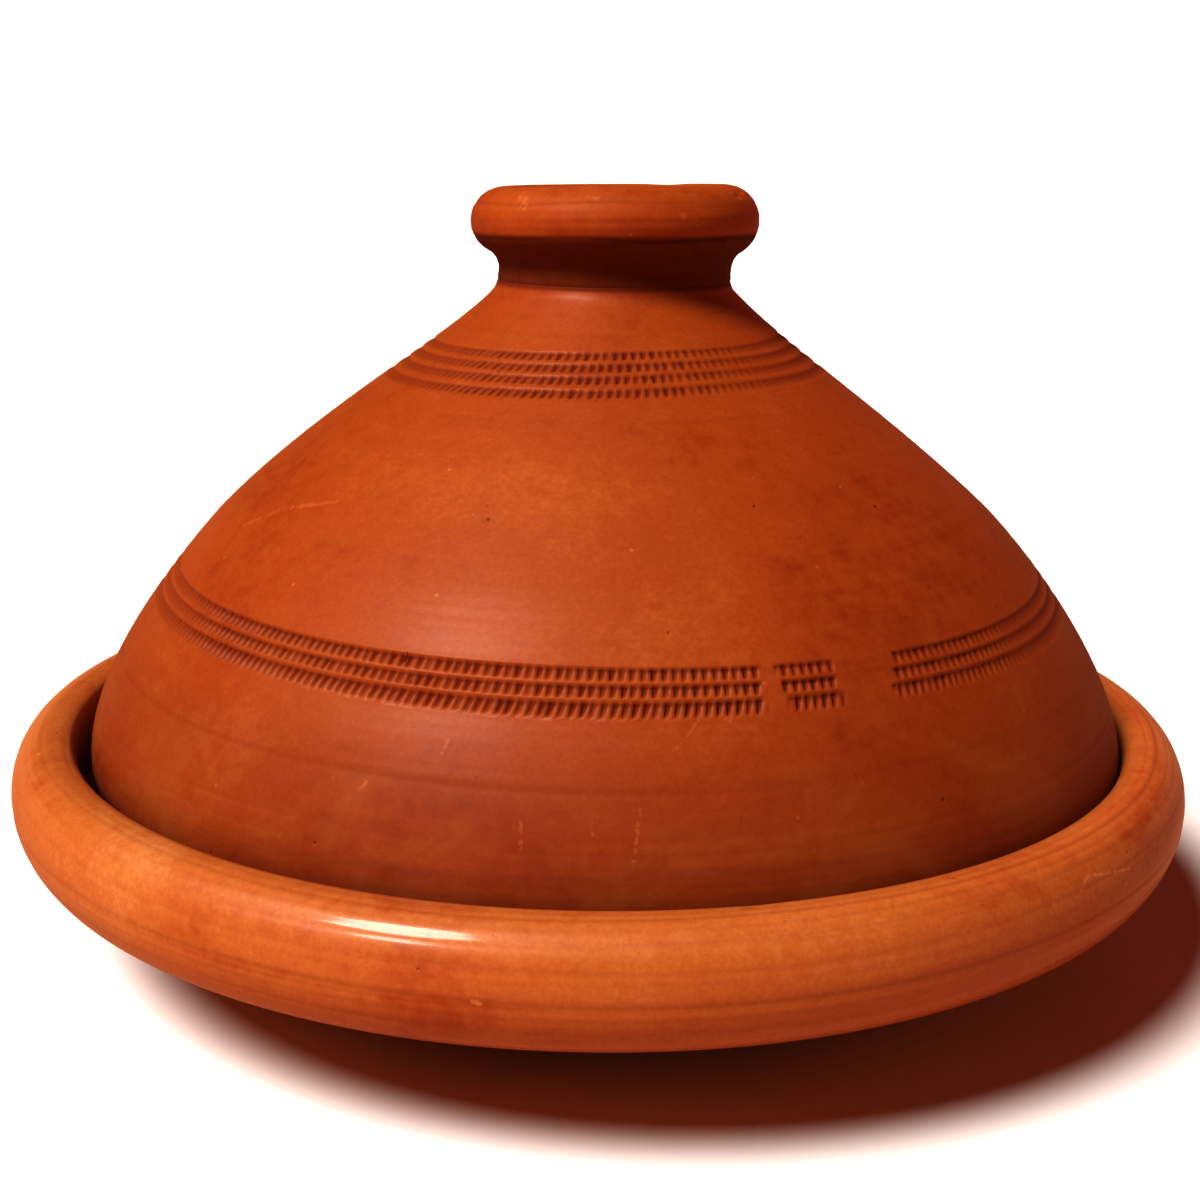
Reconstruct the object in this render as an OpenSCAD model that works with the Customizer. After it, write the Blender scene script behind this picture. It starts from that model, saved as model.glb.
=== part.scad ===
// Tagine pot: a shallow clay cooking dish with a fat rolled rim, and a tall hollow cone of a lid that stands
// on a ledge inside the rim. The knob is a flared cup, thrown on its own and luted to the crown of the lid.
// Millimetres, +Z up. The origin is the centre of the dish's base, on the table.

/* [Dish] */
// Outside diameter over the rolled rim
dish_d = 300; // [292:1:320]
// Height of the rim's widest line above the table
rim_z = 41; // [38:1:60]
// Height of the rolled rim from its underside to its top
rim_h = 28.4; // [24:0.2:30]
// Thickness of the roll from inside to outside
rim_w = 21.4; // [18:0.2:22]
// Lean of the rolled rim outwards at its top, in degrees
rim_lean = 6.7; // [0:0.1:8]
// Diameter of the flat base
base_d = 180; // [150:2:200]
// Thickness of the dish's floor
floor_t = 9; // [7:0.5:11]
// Diameter of the straight wall inside the rim, round the lid
seat_d = 268.4; // [267.6:0.2:269]
// Width of the ledge that carries the lid
ledge_w = 12; // [11:0.5:14]
// Depth of the ledge below the rim's widest line
ledge_drop = 4; // [3:0.5:5]

/* [Lid] */
// Largest diameter of the lid, just above its foot
lid_d = 264.6; // [262:0.2:265]
// Height of the crown above the rim's widest line, where the knob sits
crown_h = 123; // [118:1:130]
// Diameter of the crown
crown_d = 60; // [58:0.5:64]
// Wall thickness of the lid
lid_wall = 8; // [6:0.5:9]
// How far off the dish's centre the lid rests in its seat
lid_offset = 1.5; // [0:0.1:1.5]

/* [Knob] */
// Diameter of the knob's neck
neck_d = 58.4; // [54:0.2:60]
// Diameter over the knob's rolled lip
knob_d = 71.8; // [68:0.2:76]
// Height of the knob
knob_h = 23.5; // [21:0.5:28]
// How far off the lid's centre the knob was luted on
knob_offset = 1.3; // [0:0.1:2]

/* [Wheel-pressed bands] */
// Rows of teeth in the band below the knob
upper_rows = 4; // [1:1:4]
// Height of that band's lowest row above the rim's widest line
upper_band_z = 102; // [98:0.5:103]
// Rows of teeth in the band round the shoulder
lower_rows = 3; // [1:1:4]
// Height of that band's lowest row above the rim's widest line
lower_band_z = 47; // [40:0.5:52]
// Depth of a row
row_depth = 0.6; // [0.3:0.1:0.9]

/* [Hidden] */
$fn = 180;

dish_clay = [0.84, 0.42, 0.17];
lid_clay = [0.74, 0.30, 0.11];

steps = 14;                     // straight steps in each curve of an outline
rim_a = rim_w / 2;
rim_b = rim_h / 2;
// The rim's centre line: the leaning roll reaches out to exactly half of dish_d.
rim_r = dish_d / 2 - norm([rim_a * cos(rim_lean), rim_b * sin(rim_lean)]);
seat_r = seat_d / 2;
bowl_r = seat_r - ledge_w;      // inner edge of the ledge
ledge_z = rim_z - ledge_drop;
base_r = base_d / 2;
lid_r = lid_d / 2;
crown_r = crown_d / 2;
crown_z = rim_z + crown_h;
knob_r = knob_d / 2;
edge = 2;                       // rounding of a finger-wiped edge
row_r = 1.3;                    // radius of the groove that a row of teeth makes
upper_pitch_z = 2.75;           // height from one row to the next, on the slope near the crown
lower_pitch_z = 3.05;           // the same, on the steeper shoulder
// The shoulder band was pressed in two runs that don't meet: one nearly all the way round, and one short
// length in the opening between its ends. Each run is [start angle, sweep].
lower_runs = [[-57.5, 343], [-72, 7]];
upper_runs = [[0, 360]];

// A smooth curve from p to q. u is the pull out of p and v the pull back from q. Its first point is left out.
function curve(p, u, v, q) =
    [for (i = [1:steps]) let (t = i / steps, s = 1 - t)
        s*s*s * p + 3*s*s*t * (p + u) + 3*s*t*t * (q + v) + t*t*t * q];

// The point at angle t on an ellipse about c, with half axes a and b, leaning outwards at its top by lean.
function oval(c, a, b, t, lean = 0) =
    c + [a * cos(t) * cos(lean) + b * sin(t) * sin(lean), b * sin(t) * cos(lean) - a * cos(t) * sin(lean)];
function oval_arc(c, a, b, from, to, n, lean = 0) =
    [for (i = [0:n]) oval(c, a, b, from + (to - from) * i / n, lean)];

// An outline moved inwards by w, square to itself; its two end points are left out.
function inset(line, w) =
    [for (i = [1:len(line) - 2]) let (d = line[i + 1] - line[i - 1]) line[i] + w * [-d.y, d.x] / norm(d)];

function reversed(line) = [for (i = [len(line) - 1:-1:0]) line[i]];

// The lid's outside, from just above its foot, over the shoulder and up the flank to the crown.
widest = [lid_r, rim_z + 8];
flank = [0.743 * lid_r, rim_z + 0.537 * crown_h];
crown_foot = [crown_r, crown_z - 2];
flank_way = [-0.714, 0.7];      // the slope where the shoulder meets the flank
flank_line = concat(
    [widest],
    curve(widest, [0, 21], -4.4 * flank_way, flank),
    curve(flank, 33.4 * flank_way, [13.6, -14.2], crown_foot));
function flank_radius(z) = lookup(z, [for (p = flank_line) [p.y, p.x]]);

// The dish: base, wall swelling out to the underside of the roll, the roll, the seat, the ledge and the bowl.
module dish() {
    roll = oval_arc([rim_r, rim_z], rim_a, rim_b, -120, 114, 36, rim_lean);
    roll_end = roll[len(roll) - 1];
    seat_top = [seat_r, rim_z + 8];
    bowl_edge = [bowl_r, ledge_z];
    bowl_top = bowl_edge - [edge, edge];
    floor_edge = [base_r - 20, floor_t];
    color(dish_clay)
    rotate_extrude()
    polygon(concat(
        [[0, 0], [base_r - edge, 0]],
        curve([base_r - edge, 0], [edge, 0], [0, -edge], [base_r, edge]),
        curve([base_r, edge], [14, 5], [-8, -9], roll[0]),
        roll,
        curve(roll_end, [-1.6, -0.8], [0, 2.5], seat_top),
        curve([seat_r, ledge_z + edge], [0, -edge / 2], [edge / 2, 0], [seat_r - edge, ledge_z]),
        [bowl_edge],
        curve(bowl_edge, [-edge / 2, 0], [0, edge / 2], bowl_top),
        curve(bowl_top, [-3, -18], [26, 0], floor_edge),
        [[0, floor_t]]));
}

// One row of teeth, as the shallow groove that holds them.
module pressed_row(z, runs) {
    r = flank_radius(z);
    slope = [flank_radius(z + 1) - flank_radius(z - 1), 2];
    out = (row_r - row_depth) * [slope.y, -slope.x] / norm(slope);
    for (run = runs)
        rotate([0, 0, run[0]])
        rotate_extrude(angle = run[1])
        translate([r + out.x, z + out.y])
        circle(row_r, $fn = 24);
}

// The lid: a hollow cone of even wall that stands on a flat foot, closed at the crown under the knob.
module lid() {
    foot_out = [lid_r - 0.9, ledge_z + 3];
    foot_in = [lid_r - lid_wall - 0.4, ledge_z + 3];
    inside = inset(flank_line, lid_wall);
    ceiling = [0, crown_z - 6];
    top_inside = inside[len(inside) - 1];
    color(lid_clay)
    translate([lid_offset, 0, 0])
    difference() {
        rotate_extrude()
        polygon(concat(
            curve(foot_out, [0, -1.6], [1.6, 0], [lid_r - 3.5, ledge_z]),
            curve([foot_in.x + 2, ledge_z], [-1, 0], [0, -1.6], foot_in),
            inside,
            curve(top_inside, [-4, 3], [9, 0], ceiling),
            [[0, crown_z], [crown_r - 0.5, crown_z]],
            reversed(flank_line)));
        for (i = [0:upper_rows - 1])
            pressed_row(rim_z + upper_band_z + i * upper_pitch_z, upper_runs);
        for (i = [0:lower_rows - 1])
            pressed_row(rim_z + lower_band_z + i * lower_pitch_z, lower_runs);
    }
}

// The knob: a thick flared cup with a rolled lip, open at the top.
module knob() {
    lip_a = 8.3;
    lip_b = 8.5;
    lip = [knob_r - lip_a, crown_z + knob_h - lip_b];
    neck_top = [neck_d / 2, crown_z + 1];
    cup_floor = crown_z + 7;
    roll = oval_arc(lip, lip_a, lip_b, -60, 195, 36);
    color(lid_clay)
    translate([lid_offset + knob_offset, 0, 0])
    rotate_extrude()
    polygon(concat(
        [[0, crown_z], [neck_top.x, crown_z], neck_top],
        curve(neck_top, [-0.5, 3.2], [-2.2, -1.3], roll[0]),
        roll,
        curve(roll[len(roll) - 1], [0.4, -2], [9, 0], [9, cup_floor]),
        [[0, cup_floor]]));
}

dish();
lid();
knob();
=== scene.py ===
"""The looks of a tagine pot: a wheel-thrown clay dish, its tall lid and the knob luted on the lid's crown.

Every piece is one closed turned surface: an outline of (radius, height) points carried round the axis, then
pushed in and out by the marks that a potter's hands and wheel leave. Shapes are worked out in millimetres and
put into metres when the mesh is made.
"""

import logging
import math
from dataclasses import dataclass
from enum import Enum
from functools import reduce

import bpy
import numpy as np
from mathutils import Matrix, Vector


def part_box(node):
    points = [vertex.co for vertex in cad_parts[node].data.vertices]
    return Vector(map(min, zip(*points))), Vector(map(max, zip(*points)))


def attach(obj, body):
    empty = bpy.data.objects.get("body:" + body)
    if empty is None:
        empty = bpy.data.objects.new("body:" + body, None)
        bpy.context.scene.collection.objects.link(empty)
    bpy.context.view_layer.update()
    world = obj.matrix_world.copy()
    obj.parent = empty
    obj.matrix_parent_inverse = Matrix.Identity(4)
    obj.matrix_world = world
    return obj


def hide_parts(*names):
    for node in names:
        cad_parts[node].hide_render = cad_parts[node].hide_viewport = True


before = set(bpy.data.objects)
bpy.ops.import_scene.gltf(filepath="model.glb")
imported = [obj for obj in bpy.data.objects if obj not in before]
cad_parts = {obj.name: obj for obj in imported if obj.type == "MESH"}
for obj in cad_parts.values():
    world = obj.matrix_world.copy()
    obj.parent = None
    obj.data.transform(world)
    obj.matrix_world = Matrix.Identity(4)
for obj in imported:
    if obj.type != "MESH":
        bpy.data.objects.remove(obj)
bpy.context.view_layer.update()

MM = 0.001
TURN = 2.0 * math.pi

Array = np.ndarray
Point = tuple[float, float] | Array  # a (radius, height) point of a section, in millimetres
Marks = tuple[Array, Array]  # at each point: a push outwards in millimetres, and dirt and painted shade from 0 to 1
Colour = tuple[float, float, float]  # red, green and blue
Way = tuple[float, float, float]  # x, y and z
Paint = Colour | bpy.types.NodeSocket  # a colour, or a material's socket that gives one

log = logging.getLogger("tagine")


class Clay(Enum):
    """The record's two material slots."""

    DISH = "dish_clay"
    LID = "lid_clay"


class Body(Enum):
    """The moving bodies that pieces ride on."""

    DISH = "dish"
    LID = "lid"


class Sum(Enum):
    """The sums that a material can work out."""

    ADD = "ADD"
    TAKE = "SUBTRACT"
    TIMES = "MULTIPLY"
    OVER = "DIVIDE"
    ROOT = "SQRT"
    AROUND = "ARCTAN2"
    LARGER = "MAXIMUM"


class Ramp(Enum):
    """How a number climbs from 0 to 1 between two limits."""

    SOFT = "SMOOTHSTEP"
    EVEN = "LINEAR"


def linear(red: float, green: float, blue: float) -> Colour:
    """Turns a display colour of 0 to 255 per channel into the linear light that a shader takes."""
    return tuple((c / 255.0) ** 2.2 for c in (red, green, blue))


# ---------------------------------------------------------------------------------------------------------
# Outlines
# ---------------------------------------------------------------------------------------------------------


@dataclass
class Stretch:
    """One smooth length of an outline.

    Attributes:
        points: its (radius, height) points, close together, in millimetres.
        step: the distance between the rings of the mesh along it.
    """

    points: Array
    step: float


FINE = 500  # points in each stretch of an outline, so close that no facet shows in a highlight
SOOT_AND_SHADE = "soot_and_shade"  # name of the meshes' attribute for dirt and painted shade
QUIET = 6.0  # radius within which hand marks die out, because all angles meet at the axis


def straight(start: Point, end: Point, step: float) -> Stretch:
    """Makes a straight stretch from start to end."""
    t = np.linspace(0.0, 1.0, FINE)[:, None]
    return Stretch((1.0 - t) * np.array(start, float) + t * np.array(end, float), step)


def sweep(start: Point, pull: Point, back: Point, end: Point, step: float) -> Stretch:
    """Makes a smooth stretch from start to end.

    It is the cubic curve that leaves start along pull and comes into end from end plus back.

    Args:
        start: first (radius, height) point.
        pull: handle out of start.
        back: handle back from end.
        end: last point.
        step: distance between the rings of the mesh.

    Returns:
        The stretch.
    """
    t = np.linspace(0.0, 1.0, FINE)[:, None]
    s = 1.0 - t
    first, last = np.array(start, float), np.array(end, float)
    out, into = first + np.array(pull, float), last + np.array(back, float)
    return Stretch(s**3 * first + 3 * s * s * t * out + 3 * s * t * t * into + t**3 * last, step)


def roll(centre: Point, half_width: float, half_height: float, first: float, last: float, step: float,
         lean: float = 0.0) -> Stretch:
    """Makes a rolled lip: part of an ellipse round centre, its top leaning outwards.

    A point at angle t is the centre plus (half width times cos t, half height times sin t), turned clockwise
    by lean.

    Args:
        centre: (radius, height) of the middle of the lip.
        half_width: half its thickness from inside to outside.
        half_height: half its height.
        first: angle at which it starts, in degrees, where 0 is its outermost side and 90 its top.
        last: angle at which it ends.
        step: distance between the rings of the mesh.
        lean: the lean outwards, in degrees.

    Returns:
        The stretch.
    """
    t = np.radians(np.linspace(first, last, FINE))
    tip = math.radians(lean)
    wide, tall = half_width * np.cos(t), half_height * np.sin(t)
    radius = centre[0] + wide * math.cos(tip) + tall * math.sin(tip)
    height = centre[1] + tall * math.cos(tip) - wide * math.sin(tip)
    return Stretch(np.stack([radius, height], -1), step)


class Outline:
    """The edge of a piece's section, from the axis round the clay and back to the axis.

    It runs so that the clay lies on its left. A place on it is the length along it from its start.
    """

    def __init__(self, stretches: list[Stretch]) -> None:
        """Joins the stretches end to end and measures the length along them.

        Args:
            stretches: the stretches, each of which starts where the one before it ends.
        """
        rows = [stretches[0].points] + [s.points[1:] for s in stretches[1:]]
        self.points = np.vstack(rows)
        steps = np.hypot(*np.diff(self.points, axis=0).T)
        self.places = np.concatenate([[0.0], np.cumsum(steps)])
        along = np.gradient(self.points, axis=0)
        along /= np.linalg.norm(along, axis=1)[:, None]
        self.normals = np.stack([along[:, 1], -along[:, 0]], -1)
        ends = np.cumsum([len(r) for r in rows]) - 1
        self.joints = np.concatenate([[0.0], self.places[ends]])
        self.steps = [s.step for s in stretches]

    def stations(self) -> Array:
        """Places the mesh's rings: evenly within each stretch, with one at every joint.

        Returns:
            The rings' places.
        """
        runs = [
            np.linspace(a, b, max(2, math.ceil((b - a) / step) + 1))[1:]
            for a, b, step in zip(self.joints[:-1], self.joints[1:], self.steps)
        ]
        return np.concatenate([[0.0]] + runs)

    def at(self, place: Array) -> tuple[Array, Array, Array, Array]:
        """Gives the radius, the height and the outward direction's two parts at each place."""
        columns = (self.points[:, 0], self.points[:, 1], self.normals[:, 0], self.normals[:, 1])
        return tuple(np.interp(place, self.places, c) for c in columns)

    def nearest(self, radius: float, height: float) -> float:
        """Gives the place nearest to a point of the section."""
        gap = np.hypot(self.points[:, 0] - radius, self.points[:, 1] - height)
        return float(self.places[gap.argmin()])

    def place_at_height(self, height: float, joint: int) -> float:
        """Gives the place at a height on one stretch that climbs, named by its number."""
        inside = (self.places >= self.joints[joint]) & (self.places <= self.joints[joint + 1])
        return float(np.interp(height, self.points[inside, 1], self.places[inside]))


# ---------------------------------------------------------------------------------------------------------
# Marks left by hand and wheel
# ---------------------------------------------------------------------------------------------------------


@dataclass
class Ripple:
    """Soft, uneven waves over a turned surface.

    The height at angle a and place p is the sum of waves, each cos(turns times a + p times a whole circle
    over its length + a random start), with whole numbers of turns so that the surface closes on itself.

    Attributes:
        height: about how far the waves reach, in millimetres.
        shortest: shortest wave along the outline.
        longest: longest wave along the outline.
        turns: most waves in one turn round the piece.
        seed: start of the random draws.
        count: number of waves.
    """

    height: float
    shortest: float
    longest: float
    turns: int
    seed: int
    count: int = 14

    def at(self, angle: Array, place: Array) -> Array:
        """Adds up the waves.

        Args:
            angle: each point's angle, in radians.
            place: each point's place on the outline.

        Returns:
            The push outwards at each point.
        """
        draw = np.random.default_rng(self.seed)
        lengths = np.exp(draw.uniform(math.log(self.shortest), math.log(self.longest), self.count))
        turns = draw.integers(-self.turns, self.turns + 1, self.count)
        starts = draw.uniform(0.0, TURN, self.count)
        total = np.zeros(np.shape(angle))
        for length, times, start in zip(lengths, turns, starts):
            total += np.cos(times * angle + TURN * place / length + start)
        return self.height * total / math.sqrt(self.count)


@dataclass
class Groove:
    """A line scratched round the piece while it turned.

    Attributes:
        place: where it runs on the outline.
        width: its width, in millimetres.
        depth: its depth; below zero for a raised line.
        wander: how far it strays up and down.
        strong: angle in degrees at which it is deepest.
        fade: how much of its depth it loses on the other side, from 0 to 1.
        dirt_and_shade: how dark it looks from dirt and painted shade in the line, from 0 to 1.
        seed: start of the random draws.
    """

    place: float
    width: float
    depth: float
    wander: float = 0.3
    strong: float = -90.0
    fade: float = 0.3
    dirt_and_shade: float = 0.5
    seed: int = 1

    def at(self, angle: Array, place: Array) -> Marks:
        """Cuts the line: across it, push and the dark of dirt and painted shade follow a bell curve about its
        middle.

        Args:
            angle: each point's angle, in radians.
            place: each point's place on the outline.

        Returns:
            The push outwards and the dirt and painted shade at each point.
        """
        stray = Ripple(self.wander, 1e5, 1e6, 6, self.seed, 8).at(angle, np.zeros_like(place))
        bell = np.exp(-(((place - self.place - stray) / (0.5 * self.width)) ** 2))
        hold = 1.0 - self.fade * 0.5 * (1.0 - np.cos(angle - math.radians(self.strong)))
        return -self.depth * hold * bell, self.dirt_and_shade * hold * bell


@dataclass
class Dent:
    """A small knock or a chip.

    Attributes:
        angle: where it is round the piece, in degrees.
        place: where it is on the outline.
        across: its reach round the piece, in millimetres.
        along: its reach along the outline.
        depth: its depth; below zero for a lump.
    """

    angle: float
    place: float
    across: float
    along: float
    depth: float

    def at(self, angle: Array, place: Array, radius: Array) -> Array:
        """Presses the dent in: a bell curve in both directions.

        Args:
            angle: each point's angle, in radians.
            place: each point's place on the outline.
            radius: the piece's radius at each point.

        Returns:
            The push outwards at each point.
        """
        off = (angle - math.radians(self.angle) + math.pi) % TURN - math.pi
        across = off * radius / self.across
        along = (place - self.place) / self.along
        return -self.depth * np.exp(-(across**2) - along**2)


def scratch(lines: tuple[Groove, ...], push: Array, dirt_and_shade: Array, angle: Array, place: Array) -> None:
    """Cuts lines into a surface and puts dirt and painted shade in them.

    Args:
        lines: the lines.
        push: the push outwards so far, which is added to.
        dirt_and_shade: the dirt and painted shade so far, which is added to.
        angle: each point's angle, in radians.
        place: each point's place on the outline.
    """
    for line in lines:
        dig, dark = line.at(angle, place)
        push += dig
        dirt_and_shade += dark


@dataclass
class Run:
    """A length of a pressed band, from where the wheel was set down to where it was lifted.

    Attributes:
        start: angle at which it starts, in degrees.
        reach: how far it goes round, in degrees.
        stagger: how much earlier each lower row starts, in degrees.
        lift: how much earlier each lower row ends, in degrees.
        soft: length of its fading ends, in degrees.
    """

    start: float
    reach: float
    stagger: float = 0.0
    lift: float = 0.0
    soft: float = 0.5

    def mask(self, degrees: Array, row: int) -> Array:
        """Says where the wheel pressed.

        Args:
            degrees: each point's angle, in degrees.
            row: number of the row, from the top.

        Returns:
            1 where the wheel pressed and 0 where it was lifted, with short soft ends.
        """
        if self.reach >= 360.0:
            return np.ones_like(degrees)
        start = self.start - row * self.stagger
        reach = self.reach + row * (self.stagger - self.lift)
        gone = (degrees - start) % 360.0
        return np.clip(gone / self.soft, 0.0, 1.0) * np.clip((reach - gone) / self.soft, 0.0, 1.0)


@dataclass
class PressedBand:
    """Rows of small teeth, pressed round the lid with a toothed wheel while the clay was soft.

    Attributes:
        tops: heights of the rows' upper edges above the rim, highest first, in millimetres.
        tall: height of each row along the slope.
        pitch: distance from one tooth to the next.
        depth: depth of a tooth.
        slant: how far each row's teeth lag at their lower ends, in pitches.
        runs: the lengths in which the band was pressed.
        angles: angles in degrees at which the touch is known.
        clear: how clear the teeth are at those angles: 1 is crisp, 0 is a smooth smeared groove.
        firm: how firmly the wheel was pressed at those angles.
        seed: start of the random draws.
        smeared: depth of the smeared groove, against a tooth.
        smeared_dirt_and_shade: how dark the smeared groove looks with dirt and painted shade, against a
            tooth.
        down: how far down a row each of its rings lies, where 0 is its upper edge and 1 its lower one.
        bite: how deep the wheel went at each ring. It bit in hard at the upper edge and came out shallow, and
            below zero it pushed up a low ridge of clay.
        land: how deep the land between two teeth lies at each ring, against the teeth, so that one line runs
            along the upper edge.
        pit_half: half the width of a tooth's floor, in pitches.
        pit_top: how much wider that is at the upper edge.
        pit_taper: how much narrower it gets down the row.
        wall: width of a tooth's sloping wall, in pitches.
    """

    tops: tuple[float, ...]
    tall: tuple[float, ...]
    pitch: float
    depth: float
    slant: tuple[float, ...]
    runs: tuple[Run, ...]
    angles: tuple[float, ...]
    clear: tuple[float, ...]
    firm: tuple[float, ...]
    seed: int
    smeared: float = 0.34
    smeared_dirt_and_shade: float = 0.58
    down: tuple[float, ...] = (-0.14, 0.0, 0.13, 0.55, 0.86, 1.04)
    bite: tuple[float, ...] = (-0.05, 0.08, 1.0, 0.92, 0.56, -0.06)
    land: tuple[float, ...] = (1.0, 1.0, 0.64, 0.22, 0.16, 1.0)
    pit_half: float = 0.23
    pit_top: float = 1.05
    pit_taper: float = 0.45
    wall: float = 0.10

    def rings(self, row: int, top: float, radius: float) -> list["Ring"]:
        """Makes the rings of one row.

        Five points go to each tooth, at the middle of the land and at the foot and the head of both walls.
        They follow its slant, so the pits have crisp walls.

        Args:
            row: number of the row, from the top.
            top: place of its upper edge on the lid's outline.
            radius: the lid's radius there.

        Returns:
            The rings, lowest first.
        """
        draw = np.random.default_rng(self.seed + row)
        teeth = round(TURN * radius / self.pitch)
        jitter = draw.normal(0.0, 0.035, teeth)
        vigour = np.clip(draw.normal(1.0, 0.13, teeth), 0.6, 1.3)
        begin = draw.uniform(0.0, 1.0)
        made = []
        for down, bite, land in reversed(list(zip(self.down, self.bite, self.land))):
            pit = self.pit_half * (self.pit_top - self.pit_taper * max(down, 0.0))
            across = np.array([0.0, 0.5 - pit - self.wall, 0.5 - pit, 0.5 + pit, 0.5 + pit + self.wall])
            deep = np.array([land, land, 1.0, 1.0, land])
            lag = begin - self.slant[row] * down
            phase = np.arange(teeth)[:, None] + across[None, :] + jitter[:, None] + lag
            angle = (phase * TURN / teeth).ravel()
            degrees = np.degrees(angle)
            clear = np.interp(degrees, self.angles, self.clear, period=360.0)
            firm = np.interp(degrees, self.angles, self.firm, period=360.0)
            held = np.clip(sum(run.mask(degrees, row) for run in self.runs), 0.0, 1.0)
            tooth = (deep[None, :] * vigour[:, None]).ravel()
            press = held * firm * bite
            push = press * (clear * tooth + (1.0 - clear) * self.smeared)
            # Teeth and smeared grooves are darkened: part dirt, part painted shade in the pits.
            dirt_and_shade = press * (clear * tooth + (1.0 - clear) * self.smeared_dirt_and_shade)
            place = np.full(len(angle), top - down * self.tall[row])
            made.append(Ring(place, angle, -self.depth * push, np.clip(dirt_and_shade, 0.0, 1.0)))
        return made


# ---------------------------------------------------------------------------------------------------------
# Turned surfaces
# ---------------------------------------------------------------------------------------------------------


@dataclass
class Ring:
    """One ring of points round a piece.

    Attributes:
        place: each point's place on the outline.
        angle: each point's angle, in radians.
        push: each point's push outwards, in millimetres.
        mark: how deep each point lies in a pressed mark, from 0 to 1, for the dirt and painted shade there.
    """

    place: Array
    angle: Array
    push: Array
    mark: Array


def plain_ring(place: float, points: int) -> Ring:
    """Makes an evenly spaced ring with nothing pressed into it."""
    return Ring(np.full(points, place), np.arange(points) * TURN / points, np.zeros(points), np.zeros(points))


def stitch(low: Ring, high: Ring, low_start: int, high_start: int) -> tuple[Array, Array]:
    """Joins two rings with faces.

    Rings with equally many points are joined point to point with four-sided faces. Other rings are zipped:
    both are walked round together, and each step goes to the ring whose next point comes first and makes the
    triangle between that step and the other ring's last point.

    Args:
        low: the earlier ring.
        high: the later ring.
        low_start: number of the earlier ring's first point.
        high_start: number of the later ring's first point.

    Returns:
        The four-sided faces and the triangles, as rows of point numbers.
    """
    m, n = len(low.angle), len(high.angle)
    no_quads, no_triangles = np.zeros((0, 4), int), np.zeros((0, 3), int)
    if m == n:
        i = np.arange(m)
        j = (i + 1) % m
        return np.stack([low_start + i, low_start + j, high_start + j, high_start + i], -1), no_triangles
    if m == 1:
        j = np.arange(n)
        fan = np.stack([np.full(n, low_start), high_start + (j + 1) % n, high_start + j], -1)
        return no_quads, fan
    if n == 1:
        i = np.arange(m)
        fan = np.stack([low_start + i, low_start + (i + 1) % m, np.full(m, high_start)], -1)
        return no_quads, fan
    first, second = low.angle % TURN, high.angle % TURN
    order_a, order_b = np.argsort(first), np.argsort(second)
    a = np.append(first[order_a], first[order_a[0]] + TURN)
    b = np.append(second[order_b], second[order_b[0]] + TURN)
    index_a = low_start + np.append(order_a, order_a[0])
    index_b = high_start + np.append(order_b, order_b[0])
    met_b = np.searchsorted(b[1:], a[1:], side="left")
    met_a = np.searchsorted(a[1:], b[1:], side="right")
    up = np.stack([index_a[:-1], index_a[1:], index_b[met_b]], -1)
    down = np.stack([index_a[met_a], index_b[1:], index_b[:-1]], -1)
    return no_quads, np.vstack([up, down])


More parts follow.
